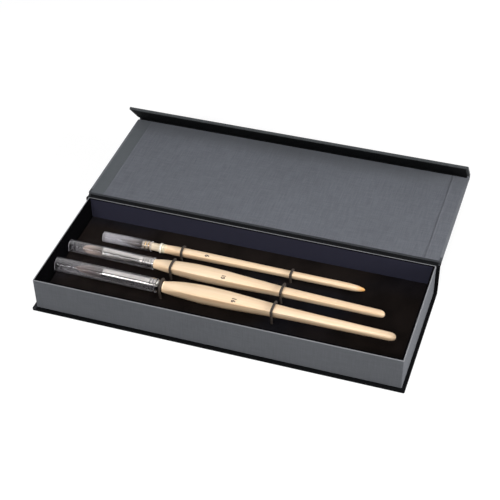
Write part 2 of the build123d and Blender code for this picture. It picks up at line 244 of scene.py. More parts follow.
grey_board, tree, shader = finished("grey_board", (0.36, 0.35, 0.33), 0.9)
fibres = stretched(tree, (900, 300, 900), 6)
coloured(tree, shader, ramp(tree, fibres, (0.3, (0.27, 0.26, 0.25)), (0.7, (0.42, 0.41, 0.38))))
relief(tree, shader, fibres, 0.0001)
dress(grey_board, *[name for name in frame["nodes"] if name.endswith("_board")])

# ---- Coverings.
# Book cloth, a fine linen on paper, is glued round the boards and turned in. Tray and lid are grey
# outside, the flap is dark grey; base and spine are coloured near-black as painted shade. The tray
# is lined in navy and black.


def between(tree, value, low, high):
    """0 below the first value, 1 above the second, and a soft step between them."""
    span = {"Value": value, "From Min": low, "From Max": high}
    return wire(tree, "MapRange", span, interpolation_type="SMOOTHSTEP").outputs[0]


def linen(name, colour, contrast=0.16, depth=0.00005, gloss=0.35):
    """Plain weave: a chequer of crossing threads on each face, with slubs that run along both.

    The chequer is the product of two sines of 0.45 mm, chosen by the face's direction. The slubs
    are noise that is drawn out along one thread direction and then the other.
    """
    made, tree, shader = finished(name, colour, 0.8, Specular_IOR_Level=gloss)
    spot = wire(tree, "TexCoord").outputs
    radians_per_metre = 14000
    scaled = {0: spot["Object"], 1: (radians_per_metre,) * 3}
    scaled = wire(tree, "VectorMath", scaled, operation="MULTIPLY")
    waves = wire(tree, "VectorMath", {0: scaled.outputs[0]}, operation="SINE")
    wave = wire(tree, "SeparateXYZ", {0: waves.outputs[0]}).outputs
    squared = {0: spot["Normal"], 1: spot["Normal"]}
    facing = wire(tree, "VectorMath", squared, operation="MULTIPLY")
    face = wire(tree, "SeparateXYZ", {0: facing.outputs[0]}).outputs
    chequer = 0.0
    for a, b, c in ((0, 1, 2), (1, 2, 0), (2, 0, 1)):
        crossing = combined(tree, "MULTIPLY", wave[a], wave[b])
        chequer = combined(tree, "MULTIPLY_ADD", crossing, face[c], chequer)
    along = stretched(tree, (75, 1300, 1300), 3)
    across = stretched(tree, (1300, 75, 75), 3, (3, 7, 1))
    slubs = combined(tree, "ADD", along, across)
    cloudy = stretched(tree, (16, 16, 16), 3)
    tone = combined(tree, "MULTIPLY_ADD", cloudy, 0.5, slubs)
    tone = combined(tree, "MULTIPLY_ADD", chequer, 0.12, tone)
    share = wire(tree, "MapRange", {"Value": tone, "From Min": 0.9, "From Max": 1.6}).outputs[0]
    low = tuple(c * (1 - contrast) for c in colour)
    high = tuple(c * (1 + contrast) for c in colour)
    coloured(tree, shader, ramp(tree, share, (0.0, low), (1.0, high)))
    relief(tree, shader, combined(tree, "MULTIPLY_ADD", slubs, 1.4, chequer), depth)
    return made, tree, shader


def covered_over(tree, shader, share, colour):
    """Mixes another colour in, by a share from 0 to 1; the surface's bump stays as it is."""
    under = shader.inputs["Base Color"].links[0].from_socket
    mixed = wire(tree, "Mix", {0: share, 6: under, 7: (*colour, 1)}, data_type="RGBA")
    coloured(tree, shader, mixed.outputs[2])


grey_linen, tree, shader = linen("grey_linen", (0.150, 0.158, 0.172))
looks = coordinates(tree, "Normal")
# Painted shade: the lid's cloth beside the hinge, where it faces up or forward into the groove, is
# darkened.
inward = combined(tree, "MAXIMUM", looks[2], combined(tree, "MULTIPLY", looks[1], -1.0))
by_hinge = between(tree, coordinates(tree)[1], 0.0645, 0.0641)
painted_hinge_shade = combined(tree, "MULTIPLY", by_hinge, inward)
painted_hinge_shade = combined(tree, "MAXIMUM", painted_hinge_shade, 0.0)
covered_over(tree, shader, combined(tree, "MULTIPLY", painted_hinge_shade, 0.9), (0.046, 0.049, 0.055))
dress(grey_linen, "lid_cover")
dark_linen = linen("dark_linen", (0.050, 0.054, 0.057), gloss=0.15)[0]
dress(dark_linen, "flap_cover")
# Painted shade: base, spine and the base's crease cloth are coloured near-black, standing in for
# the shade along the box's foot.
shade_black_linen, tree, shader = linen("shade_black_linen", (0.0045, 0.0047, 0.0053), gloss=0.04)
# Painted light: the base's left end is a lighter grey, where light falls on it.
painted_light_left_end = between(tree, coordinates(tree)[0], -0.1440, -0.1452)
painted_light_left_end = combined(tree, "MULTIPLY", painted_light_left_end, 0.9)
covered_over(tree, shader, painted_light_left_end, (0.032, 0.034, 0.038))
dress(shade_black_linen, "base_cover", "spine_cover", "base_crease_cloth")

tray_linen, tree, shader = linen("tray_linen", (0.112, 0.117, 0.128), 0.1, gloss=0.06)
spot = coordinates(tree)
lined = 1.0
for place, middle, half in ((spot[0], 0.0, 0.1442), (spot[1], 0.00025, 0.0532)):
    apart = combined(tree, "ABSOLUTE", combined(tree, "SUBTRACT", place, middle))
    lined = combined(tree, "MULTIPLY", combined(tree, "LESS_THAN", apart, half), lined)
# Painted highlight: a lighter band along the top of the tray's rim.
painted_rim_highlight = between(tree, spot[2], 0.0291, 0.0295)
covered_over(tree, shader, combined(tree, "MULTIPLY", painted_rim_highlight, 0.85), (0.27, 0.275, 0.29))
covered_over(tree, shader, lined, (0.0016, 0.0016, 0.002))
along_y = combined(tree, "ABSOLUTE", coordinates(tree, "Normal")[1])
long_walls = combined(tree, "GREATER_THAN", along_y, 0.5)
covered_over(tree, shader, combined(tree, "MULTIPLY", lined, long_walls), (0.026, 0.026, 0.041))
shine = wire(tree, "MapRange", {"Value": lined, "To Min": 0.06, "To Max": 0.01}).outputs[0]
tree.links.new(shine, shader.inputs["Specular IOR Level"])
dress(tray_linen, "tray_cover")

# ---- Liners.
# Sheets of linen-embossed paper line the insides: grey in the lid; in base and flap the paper is
# coloured near-black as painted shade. The covering's turn-ins stand out under the lid's sheet
# along its ends as a low step.

lid_linen, tree, shader = linen("lid_linen", (0.118, 0.125, 0.144), 0.2)
spot = coordinates(tree)
from_middle = combined(tree, "ABSOLUTE", spot[0])
step = between(tree, from_middle, 0.1342, 0.1346)
fall = between(tree, from_middle, 0.1348, 0.1356)
bead = combined(tree, "SUBTRACT", step, combined(tree, "MULTIPLY", fall, 0.6))
# Partly painted highlight: the turn-ins' step has a real bump, and its ridge is also painted
# lighter.
covered_over(tree, shader, combined(tree, "MULTIPLY", bead, 0.35), (0.145, 0.152, 0.170))
# Painted shade: a darker strip along the lid liner's left end.
painted_shade_left_strip = between(tree, spot[0], -0.1344, -0.1348)
covered_over(tree, shader, combined(tree, "MULTIPLY", painted_shade_left_strip, 0.8), (0.082, 0.091, 0.098))
# Painted light: the lid's liner is lighter towards the crease, offsetting the shade that the flap
# casts there.
painted_light_by_crease = combined(tree, "MULTIPLY", between(tree, spot[1], 0.142, 0.172), 0.6)
covered_over(tree, shader, painted_light_by_crease, (0.175, 0.185, 0.205))
relief(tree, shader, bead, 0.00013)
dress(lid_linen, "lid_liner")
# Painted shade: the flap's liner, and the base's and the crease's with it, is near-black, standing
# in for the shade on the flap's inside.
flap_linen = linen("flap_linen", (0.0045, 0.005, 0.0054), 0.2, gloss=0.06)[0]
dress(flap_linen, "flap_liner", "base_liner")

# ---- Hinge and crease.
# Between spine and lid, and between lid and flap, the cloth outside and the liner inside have no
# board between them. Each is a curved strip, drawn at the angle at which the lid and the flap
# stand.


def quads(rows, columns, round_columns=False):
    """Faces of a grid of points: each joins two neighbours and their two in the next row."""
    index = np.arange(rows * columns).reshape(rows, columns)
    if round_columns:
        index = np.hstack((index, index[:, :1]))
    corners = (index[:-1, :-1], index[:-1, 1:], index[1:, 1:], index[1:, :-1])
    return np.stack(corners, -1).reshape(-1, 4)


def piece(name, points, faces, made, slot, body=None, smooth=True):
    """A mesh object at the origin, from points in metres, with its material. The finish slot is not
    used.
    """
    mesh = bpy.data.meshes.new(name)
    mesh.from_pydata(np.reshape(points, (-1, 3)).tolist(), [], faces)
    mesh.polygons.foreach_set("use_smooth", np.full(len(mesh.polygons), smooth))
    mesh.materials.append(made)
    mesh.update()
    whole = bpy.data.objects.new(name, mesh)
    bpy.context.scene.collection.objects.link(whole)
    if body:
        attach(whole, body)
    return whole


def arc(centre, radius, start, end, count=14):
    """Points (y, z) on an arc about an axis along X, from one angle in degrees to another."""
    angle = np.radians(np.linspace(start, end, count))
    return np.stack((centre[0] + radius * np.cos(angle), centre[1] + radius * np.sin(angle)), -1)


def strip(name, outer, inner, half_x, made, slot, columns=60):
    """A thin strip: the outline that two rows of points (y, z) enclose, carried along X."""
    outline = np.concatenate((outer, inner[::-1])) / 1000
    along = np.linspace(-half_x, half_x, columns) / 1000
    points = np.empty((columns, len(outline), 3))
    points[..., 0] = along[:, None]
    points[..., 1:] = outline
    faces = quads(columns, len(outline), round_columns=True)
    step = np.arange(len(outer) - 1)
    last = len(outline) - 1
    cap = np.stack((step, step + 1, last - 1 - step, last - step), -1)
    far = cap + (columns - 1) * len(outline)
    faces = np.concatenate((faces[:, ::-1], cap, far[:, ::-1]))
    return piece(name, points, faces.tolist(), made, slot, smooth=False)


def outward(whole):
    """Turns a closed mesh's faces outward, by the sign of the volume that they enclose."""
    mesh = whole.data
    mesh.calc_loop_triangles()
    corner = np.empty(3 * len(mesh.loop_triangles), dtype=np.int32)
    mesh.loop_triangles.foreach_get("vertices", corner)
    place = np.empty(3 * len(mesh.vertices))
    mesh.vertices.foreach_get("co", place)
    a, b, c = np.moveaxis(place.reshape(-1, 3)[corner.reshape(-1, 3)], 1, 0)
    if np.einsum("ij,ij->i", a, np.cross(b, c)).sum() < 0:
        mesh.flip_normals()
    return whole


hinge_cloth = linen("hinge_cloth", (0.020, 0.021, 0.024))[0]
# Painted shade: the hinge's liner is coloured near-black, standing in for the groove's shade.
hinge_paper = linen("hinge_paper", (0.006, 0.0064, 0.0072), 0.2, gloss=0.08)[0]
cloth_half, liner_half = 147.7, 145.7
hinge_axis = (58.25, 30.0)
under = arc(hinge_axis, 2.75, 229.2, 310.8)
over = arc(hinge_axis, 2.5, 226.1, 313.9)
outside = outward(strip("hinge_cloth_strip", under, over, cloth_half, hinge_cloth, "book_cloth"))
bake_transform(outside)
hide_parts("hinge_cloth")
spine_flat = np.array([(54.55, 28.46), (56.2, 28.46)])
spine_foot = np.array([(54.55, 28.22), (56.2, 28.22)])
under = np.concatenate((spine_foot, arc(hinge_axis, 2.49, 227.0, 313.0)))
over = np.concatenate((spine_flat, arc(hinge_axis, 2.25, 227.0, 313.0)))
inside = outward(strip("hinge_liner_strip", under, over, liner_half, hinge_paper, "liner_paper"))
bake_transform(inside)
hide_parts("hinge_liner")

crease_axis = np.array((170.0, 30.8))
lid_side, flap_side, fold = 270, 401, 311
lid_edge, cloth_thick = 169.42, 0.25
tail = 0.58 * arc((0, 0), 1, flap_side + 90, flap_side + 90, 1)[0]


def over_crease(name, by_lid, by_flap, half_x, made, slot):
    """Two strips that meet on the crease: one bends at the lid's edge, the other at the flap's.

    The second goes on in a short straight tail, along the line in which its arc ends.
    """
    by_flap = [np.concatenate((row, row[-1:] + tail)) for row in by_flap]
    near = outward(strip(f"crease_{name}_by_lid", *by_lid, half_x, made, slot))
    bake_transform(near)
    far = outward(strip(f"crease_{name}_by_flap", *by_flap, half_x, made, slot))
    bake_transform(far)
    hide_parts(f"crease_{name}")
    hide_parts(f"crease_{name}")


# The cloth hangs a little slack, below the plane in which the flap's back comes to lie.
cloth_reach, lowest, steps = 2.95, 27.85, 26
along = np.linspace(lid_edge, lid_edge + 2.1, 12)
share = np.clip((along - lid_edge) / 1.1, 0, 1)
sunk = lowest - 0.3 * share * share * (3 - 2 * share)
near_rows = [np.stack((along, sunk + inset), -1) for inset in (0, cloth_thick)]
share = np.linspace(0, 1, steps)[:, None]
slack = 0.636 * (1 - share * share * (3 - 2 * share))
turned = arc((0, 0), 1, 295, flap_side, steps)
radius = np.minimum(cloth_reach + slack, cloth_reach / turned[:, :1])
far_rows = [crease_axis + (radius - inset) * turned for inset in (0, cloth_thick)]
over_crease("cloth", near_rows, far_rows, cloth_half, grey_linen, "book_cloth")
liner_radii = (0.75, 0.5)
near_rows = [arc(crease_axis, radius, lid_side, fold) for radius in liner_radii]
near_rows = [np.concatenate(([(lid_edge, row[0, 1])], row)) for row in near_rows]
far_rows = [arc(crease_axis, radius, fold, flap_side) for radius in liner_radii]
over_crease("liner", near_rows, far_rows, liner_half, flap_linen, "liner_paper")

# ---- Magnets, glue and barbs.
# Two pairs of nickel-plated discs hold the flap shut. A film of glue fixes the tray to the base,
# and a flat metal barb holds each end of the elastic under the insert's board.

plated, tree, shader = finished("plated", (0.62, 0.62, 0.63), 0.3, Metallic=1.0)
scuffs = stretched(tree, (1500, 1500, 1500), 5)
coloured(tree, shader, ramp(tree, scuffs, (0.3, (0.50, 0.50, 0.51)), (0.7, (0.68, 0.68, 0.69))))
relief(tree, shader, scuffs, 0.00002)
dress(plated, "tray_magnets", "flap_magnets", "elastic_barbs")
glue, tree, shader = finished("glue", (0.55, 0.52, 0.42), 0.35)
brushed_out = stretched(tree, (60, 400, 60), 4)
thin, thick = (0.42, 0.39, 0.30), (0.62, 0.58, 0.47)
coloured(tree, shader, ramp(tree, brushed_out, (0.3, thin), (0.7, thick)))
relief(tree, shader, brushed_out, 0.0001)
dress(glue, "tray_glue_sheet")

# ---- Insert.
# A slab of black foam carries a punched board under black velvet. The velvet's nap is short and
# dense, brushed this way and that, and the elastic draws it down where it goes through.

foam, tree, shader = finished("foam", (0.012, 0.012, 0.013), 0.95)
cells = {"Vector": wire(tree, "TexCoord").outputs["Object"], "Scale": 1400.0}
cell = wire(tree, "TexVoronoi", cells).outputs["Distance"]
coloured(tree, shader, ramp(tree, cell, (0.0, (0.004, 0.004, 0.005)), (0.6, (0.022, 0.022, 0.023))))
relief(tree, shader, cell, 0.0003)
dress(foam, "insert_foam")

loops = [f"elastic_loop_{number}_{row}" for number in (1, 2, 3) for row in ("head", "tail")]
cord_radius, foot_share = 0.001, 0.62
loop_boxes = {name: [np.array(corner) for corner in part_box(name)] for name in loops}
feet = []
for low, high in loop_boxes.values():
    middle = (low + high) / 2
    reach = foot_share * ((high[1] - low[1]) / 2 - cord_radius)
    feet += [(middle[0], middle[1] - reach), (middle[0], middle[1] + reach)]
feet = np.array(feet)
velvet_low, velvet_high = (np.array(corner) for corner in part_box("velvet_cover"))


def velvet_sheet(columns=330, rows=130):
    """The velvet's top, its turned-down edge and its underside.

    The top is the plane of the velvet, less a dimple round each foot of the elastic, less a slow
    swell of three sines, less a quarter round along the edge. The grid is closer near the ends and
    the sides, where that round is. One more ring of points goes straight down to the sheet's foot,
    and one face closes it below.
    """
    edge_roll, dimple_depth, dimple_reach, swelling = 0.0009, 0.0007, 0.0026, 0.00005
    u = np.sin(np.linspace(-0.5, 0.5, columns) * np.pi * 0.98) / np.sin(0.49 * np.pi)
    v = np.linspace(-1, 1, rows)
    middle = (velvet_low + velvet_high) / 2
    half = (velvet_high - velvet_low) / 2
    x = middle[0] + half[0] * (0.6 * np.linspace(-1, 1, columns) + 0.4 * u)
    y = middle[1] + half[1] * np.sign(v) * np.abs(v) ** 0.8
    x, y = np.meshgrid(x, y)
    away = np.hypot(x[..., None] - feet[:, 0], y[..., None] - feet[:, 1])
    dimple = (dimple_depth * np.exp(-((away / dimple_reach) ** 2))).sum(-1)
    swell = swelling * (2 + np.sin(41 * x + 3 * y) + np.sin(97 * y - 15 * x) * np.cos(23 * x))
    edge = np.minimum(half[0] - np.abs(x - middle[0]), half[1] - np.abs(y - middle[1]))
    short = np.clip(1 - edge / edge_roll, 0, 1)
    drop = edge_roll * (1 - np.sqrt(np.maximum(1 - short**2, 0)))
    z = velvet_high[2] - dimple - swell - drop
    top = np.stack((x, y, z), -1)
    ringed = np.pad(top, ((1, 1), (1, 1), (0, 0)), "edge")
    ringed[[0, -1], :, 2] = velvet_low[2]
    ringed[:, [0, -1], 2] = velvet_low[2]
    index = np.arange(ringed.shape[0] * ringed.shape[1]).reshape(ringed.shape[:2])
    rim = np.concatenate((index[0, :-1], index[:-1, -1], index[-1, :0:-1], index[:0:-1, 0]))
    return ringed, quads(*ringed.shape[:2]).tolist() + [rim[::-1].tolist()]


velvet, tree, shader = finished(
    "velvet", (0.008, 0.006, 0.005), 0.95, Sheen_Weight=0.03, Sheen_Roughness=0.35
)
shader.inputs["Specular IOR Level"].default_value = 0.1
shader.inputs["Sheen Tint"].default_value = (0.62, 0.45, 0.38, 1)
nap = stretched(tree, (2600, 2600, 2600), 3)
strokes = stretched(tree, (55, 30, 55), 4, (2, 5, 0))
wide = stretched(tree, (9, 14, 9), 2, (1, 4, 0))
pile = combined(tree, "MULTIPLY_ADD", strokes, 0.9, combined(tree, "MULTIPLY", nap, 0.5))
warm = ramp(tree, pile, (0.45, (0.0024, 0.0016, 0.0014)), (0.75, (0.0085, 0.006, 0.0052)))
cool = ramp(tree, pile, (0.45, (0.0025, 0.0025, 0.0038)), (0.75, (0.0065, 0.0065, 0.0095)))
turned_nap = {0: between(tree, wide, 0.50, 0.66), 6: warm, 7: cool}
coloured(tree, shader, wire(tree, "Mix", turned_nap, data_type="RGBA").outputs[2])
relief(tree, shader, pile, 0.0004)
cushion = outward(piece("velvet_sheet", *velvet_sheet(), velvet, "velvet", "tray"))
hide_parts("velvet_cover")

# ---- Handles.
# Turned and milled from pale wood, three-sided at the grip and round at the ferrule, then dipped in
# clear varnish. The thinnest one's tip is stained orange.

brush_places = {1: (24.9, 16.8, 0.0), 2: (1.2, 19.853, -1.0), 3: (-22.0, 20.594, -0.5)}
grip_roll = -5.0
tray_end = 145.0


def laid(points, number, roll):
    """Points of a brush in millimetres, drawn along X from the tray's end, laid in its place.

    They are rolled about the brush's axis, turned by its skew in plan, and moved across and up.
    """
    y, z, skew = brush_places[number]
    tilt, yaw = math.radians(roll), math.radians(skew)
    x, side, up = np.moveaxis(points, -1, 0)
    side, up = (
        side * math.cos(tilt) - up * math.sin(tilt),
        side * math.sin(tilt) + up * math.cos(tilt),
    )
    x = x - tray_end
    x, side = x * math.cos(yaw) - side * math.sin(yaw), x * math.sin(yaw) + side * math.cos(yaw)
    return np.stack((x, side + y, up + z), -1) / 1000


wood, tree, shader = finished(
    "wood", (0.80, 0.60, 0.40), 0.45, Coat_Weight=0.7, Coat_Roughness=0.12
)
pores = stretched(tree, (130, 3600, 3600), 3)
rings = stretched(tree, (7, 260, 260), 3, (0, 2, 5))
grain = combined(tree, "MULTIPLY_ADD", rings, 0.8, combined(tree, "MULTIPLY", pores, 0.35))
pale = ramp(
    tree, grain, (0.38, (0.77, 0.50, 0.30)), (0.56, (0.86, 0.63, 0.405)), (0.78, (0.91, 0.71, 0.50))
)
coloured(tree, shader, pale)
relief(tree, shader, pores, 0.00002)
stained = wood.copy()
stained.name = "stained_wood"
tree = stained.node_tree
shader = tree.nodes["Principled BSDF"]
orange_end = between(tree, coordinates(tree)[0], 0.0890, 0.0965)
covered_over(tree, shader, orange_end, (0.76, 0.38, 0.11))


def eased(stations, knots, values):
    """A smooth curve through the knots that never swings past them.

    It is made of cubic pieces. The slope at a knot is the harmonic mean of the slopes on its two
    sides, or none where they point opposite ways.
    """
    rise = np.diff(values) / np.diff(knots)
    onward = rise[:-1] * rise[1:] > 0
    mean = 2 * rise[:-1] * rise[1:] / np.where(onward, rise[:-1] + rise[1:], 1)
    slopes = np.concatenate((rise[:1], np.where(onward, mean, 0), rise[-1:]))
    place = np.clip(np.searchsorted(knots, stations, "right") - 1, 0, len(knots) - 2)
    span = knots[place + 1] - knots[place]
    t = np.clip((stations - knots[place]) / span, 0, 1)
    rising = (3 - 2 * t) * t * t
    here = values[place] * (1 - rising) + values[place + 1] * rising
    leaving = slopes[place] * t * (1 - t) ** 2
    return here + span * (leaving - slopes[place + 1] * t * t * (1 - t))


def grip(knots, widths, three_sided, length=150):
    """A handle: three gently bowed sides with close round corners, one corner down.

    A section is followed by the direction in which its surface looks. Within a side, the point is
    the side's far centre plus its long radius that way; in a corner it is the corner's centre plus
    its short radius. Where the section is round, the corners' centres meet on the axis.
    """
    corner_place, round_place, narrowing, bow = 0.545, 0.01, 1.68, 2.6
    cos_30, sin_30 = 0.866, 0.5
    even = np.linspace(0, 1, length)
    spaced = 0.5 * even + 0.5 * np.sin(even * np.pi / 2)
    stations = knots[0] + (knots[-1] - knots[0]) * spaced
    width = eased(stations, knots, widths)
    way = eased(stations, knots, three_sided)
    reach = np.maximum(corner_place * way, round_place) * width
    corner = (width - narrowing * reach) / 2
    shift = bow * reach
    half = np.arctan2(cos_30 * reach, shift + sin_30 * reach)
    side = np.hypot(shift + sin_30 * reach, cos_30 * reach) + corner
    share = np.concatenate((np.linspace(-1, 1, 11), np.linspace(1, 2, 8)[1:-1]))
    turn = np.clip(share, -1, 1) * half[:, None]
    turn = turn + np.clip(share - 1, 0, 1) * (2 * np.pi / 3 - 2 * half[:, None])
    in_corner = share > 1
    rows = []
    for facing in (90, 210, 330):
        look = math.radians(facing) + turn
        middle = np.where(in_corner, math.radians(facing + 60), math.radians(facing + 180))
        distance = np.where(in_corner, reach[:, None], shift[:, None])
        radius = np.where(in_corner, corner[:, None], side[:, None])
        y = distance * np.cos(middle) + radius * np.cos(look)
        z = distance * np.sin(middle) + radius * np.sin(look)
        rows.append(np.stack((np.broadcast_to(stations[:, None], y.shape), y, z), -1))
    points = np.concatenate(rows, axis=1)
    around = points.shape[1]
    faces = quads(length, around, round_columns=True).tolist()
    last = (length - 1) * around
    faces += [list(range(around)), list(range(last, last + around))[::-1]]
    return points, faces


# Each row gives the distance from the tray's end, the width, and how far the section is
# three-sided, from 0 for round to 1.
grips = {
    1: [
        (78.5, 7.0, 0.0), (86.0, 7.4, 0.5), (97.0, 7.3, 0.8), (112.0, 7.1, 0.9),
        (130.0, 6.8, 0.9), (150.0, 6.3, 0.9), (170.0, 6.0, 0.8), (190.0, 5.9, 0.8),
        (209.5, 5.75, 0.7), (229.0, 5.6, 0.5), (234.0, 5.0, 0.3), (238.5, 3.7, 0.0),
        (241.1, 1.9, 0.0), (241.8, 0.6, 0.0),
    ],
    2: [
        (77.8, 7.4, 0.0), (84.0, 9.0, 0.4), (92.0, 10.4, 0.8), (103.0, 11.9, 1.0),
        (117.0, 12.9, 1.0), (132.0, 12.4, 1.0), (148.0, 11.0, 1.0), (165.0, 9.5, 1.0),
        (183.0, 8.1, 1.0), (202.0, 7.5, 0.9), (221.0, 6.9, 0.8), (240.5, 6.4, 0.7),
        (259.6, 5.9, 0.6), (261.6, 5.2, 0.4), (262.9, 3.9, 0.2), (263.55, 1.6, 0.0),
    ],
    3: [
        (94.5, 8.8, 0.0), (102.0, 11.0, 0.6), (112.0, 12.8, 1.0), (127.0, 14.2, 1.0),
        (143.0, 13.8, 1.0), (160.0, 12.3, 1.0), (178.0, 10.5, 1.0), (197.0, 9.2, 1.0),
        (216.0, 8.4, 0.9), (235.0, 7.8, 0.8), (254.5, 7.1, 0.7), (273.1, 6.5, 0.6),
        (275.1, 5.7, 0.4), (276.5, 4.2, 0.2), (277.15, 1.8, 0.0),
    ],
}
for number, made in ((1, stained), (2, wood), (3, wood)):
    points, faces = grip(*np.array(grips[number]).T)
    points = laid(points, number, grip_roll)
    brush = f"brush_{number}"
    handle = outward(piece(f"grip_{number}", points, faces, made, "varnished_wood", brush))
    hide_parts(f"{brush}_handle")

# ---- Sizes.
# Each handle carries the size of its brush, printed across it in small dark figures.

ink, tree, shader = finished("ink", (0.035, 0.028, 0.025), 0.4)
worn = stretched(tree, (5000, 5000, 5000), 3)
dense, faint = (0.02, 0.016, 0.014), (0.11, 0.085, 0.07)
coloured(tree, shader, ramp(tree, worn, (0.3, dense), (0.75, faint)))
stroke, ink_lift, above_handles = 0.00016, 0.00006, 40
for number, size, station, shift, height in (
    (1, "6", 113.6, -1.1, 5.0),
    (2, "10", 136.0, -2.5, 4.4),
    (3, "16", 152.5, -2.8, 4.9),
):
    figures = bpy.data.curves.new(f"size_{number}_text", "FONT")
    figures.body = size
    figures.size = height / 1000
    figures.offset = stroke
    figures.align_x, figures.align_y = "CENTER", "CENTER"
    figures.resolution_u = 4
    drawn = bpy.data.objects.new(f"size_{number}_drawn", figures)
    flat = bpy.data.meshes.new_from_object(drawn)
    y, _, skew = brush_places[number]
    station = station - tray_end
    aside = y + shift + station * math.tan(math.radians(skew))
    middle = Vector((station, aside, above_handles)) / 1000
    flat.transform(Matrix.Translation(middle) @ Matrix.Rotation(math.radians(-90), 4, "Z"))
    loose = bpy.data.objects.new(f"size_{number}_loose", flat)
    bpy.context.scene.collection.objects.link(loose)
    finer = loose.modifiers.new("finer", "SUBSURF")
    finer.subdivision_type = "SIMPLE"
    finer.levels = finer.render_levels = 3
    onto = loose.modifiers.new("onto_handle", "SHRINKWRAP")
    onto.wrap_method = "PROJECT"
    onto.use_project_z = True
    onto.use_negative_direction, onto.use_positive_direction = True, False
    onto.target = bpy.data.objects[f"grip_{number}"]
    onto.offset = ink_lift
    onto.wrap_mode = "ABOVE_SURFACE"
    bpy.context.view_layer.update()
    printed = bpy.data.meshes.new_from_object(
        loose.evaluated_get(bpy.context.evaluated_depsgraph_get())
    )
    bpy.data.objects.remove(loose)
    bpy.data.objects.remove(drawn)
    bpy.data.meshes.remove(flat)
    printed.materials.clear()
    printed.materials.append(ink)
    printed.name = f"size_{number}_figures"
    print_piece = bpy.data.objects.new(printed.name, printed)
    bpy.context.scene.collection.objects.link(print_piece)
    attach(print_piece, f"brush_{number}")

# ---- Ferrules.
# Drawn nickel-plated brass tube, seamless and polished, crimped round the handle in small beads.

nickel, tree, shader = finished("nickel", (0.58, 0.56, 0.52), 0.14, Metallic=1.0)
drawn_lines = stretched(tree, (30, 5200, 5200), 3)
breath = stretched(tree, (160, 160, 160), 4)
coloured(tree, shader, ramp(tree, breath, (0.3, (0.52, 0.50, 0.465)), (0.7, (0.68, 0.66, 0.615))))
dull = wire(tree, "MapRange", {"Value": breath, "To Min": 0.09, "To Max": 0.17}).outputs[0]
tree.links.new(dull, shader.inputs["Roughness"])
spot = coordinates(tree)
second = combined(tree, "GREATER_THAN", spot[1], -0.01)
third = combined(tree, "SUBTRACT", 1.0, second)
# Painted shade: a dark band in each crimp's bead, standing in for the beads' shading.
for chosen, first_bead, pitch in ((second, -0.0750, 0.0022), (third, -0.0598, 0.0024)):
    beads = combined(tree, "MULTIPLY_ADD", spot[0], 1 / pitch, -first_bead / pitch)
    crimped = combined(tree, "COMPARE", beads, 1.0, 1.7)
    wave = combined(tree, "COSINE", combined(tree, "MULTIPLY", beads, 2 * math.pi))
    painted_crimp_shade = combined(tree, "MULTIPLY", between(tree, wave, 0.1, -0.8), crimped)
    painted_crimp_shade = combined(tree, "MULTIPLY", painted_crimp_shade, combined(tree, "MULTIPLY", chosen, 0.8))
    covered_over(tree, shader, painted_crimp_shade, (0.07, 0.066, 0.062))
relief(tree, shader, drawn_lines, 0.0000012)
dress(nickel, "brush_2_ferrule", "brush_3_ferrule")

# ---- Quill and collar.
# The smallest mop is set in a real feather quill, horny and half clear, bound with brass wire. A
# short pale collar sits where the handle begins.

quill, tree, shader = finished(
    "quill", (0.82, 0.70, 0.52), 0.28, Transmission_Weight=0.12, Coat_Weight=0.3
)
veins = stretched(tree, (60, 3000, 3000), 4)
coloured(tree, shader, ramp(tree, veins, (0.35, (0.66, 0.53, 0.37)), (0.7, (0.92, 0.80, 0.63))))
hair_inside = between(tree, coordinates(tree)[0], -0.0772, -0.0792)
hair_inside = combined(tree, "MULTIPLY", hair_inside, 0.85)
covered_over(tree, shader, hair_inside, (0.20, 0.165, 0.125))
relief(tree, shader, veins, 0.00003)
dress(quill, "brush_1_quill")
brass, tree, shader = finished("brass", (0.80, 0.60, 0.28), 0.2, Metallic=1.0)
twist = stretched(tree, (900, 5000, 5000), 3)
coloured(tree, shader, ramp(tree, twist, (0.3, (0.62, 0.43, 0.17)), (0.7, (0.86, 0.68, 0.36))))
by_collar = between(tree, coordinates(tree)[0], -0.0715, -0.0705)
covered_over(tree, shader, by_collar, (0.90, 0.82, 0.62))
waxed = wire(tree, "MapRange", {"Value": by_collar, "To Min": 1.0, "To Max": 0.25}).outputs[0]
tree.links.new(waxed, shader.inputs["Metallic"])
relief(tree, shader, twist, 0.00002)
dress(brass, "brush_1_windings")
horn, tree, shader = finished("horn", (0.86, 0.80, 0.68), 0.22, Coat_Weight=0.5)
cloud = stretched(tree, (400, 900, 900), 3)
coloured(tree, shader, ramp(tree, cloud, (0.3, (0.74, 0.67, 0.54)), (0.7, (0.93, 0.89, 0.79))))
relief(tree, shader, cloud, 0.00002)
dress(horn, "brush_1_collar")

# ---- Elastic loops.
# Round elastic cord, rubber under a braid of dark threads. Each piece comes up through the velvet,
# over a brush and down again, and is drawn tight across it.

cord_sides = 16


def swept(path, radius, around=cord_sides):
    """A round cord in a plane across X: a circle carried along a path, with both ends closed.

    The circle stands square to the path, on the path's own tangent and on X.
    """
    tangent = np.gradient(path, axis=0)
    tangent /= np.linalg.norm(tangent, axis=1)[:, None]
    across = np.array([1.0, 0.0, 0.0])
    third = np.cross(tangent, across)
    turn = np.linspace(0, 2 * np.pi, around, endpoint=False)
    ring = np.cos(turn)[:, None] * across + np.sin(turn)[:, None] * third[:, None, :]
    points = path[:, None, :] + radius * ring
    faces = quads(len(path), around, round_columns=True).tolist()
    last = (len(path) - 1) * around
    return points, faces + [list(range(around))[::-1], list(range(last, last + around))]


def walked(line):
    """How far along a line each of its points lies."""
    return np.concatenate(([0], np.cumsum(np.linalg.norm(np.diff(line, axis=0), axis=1))))


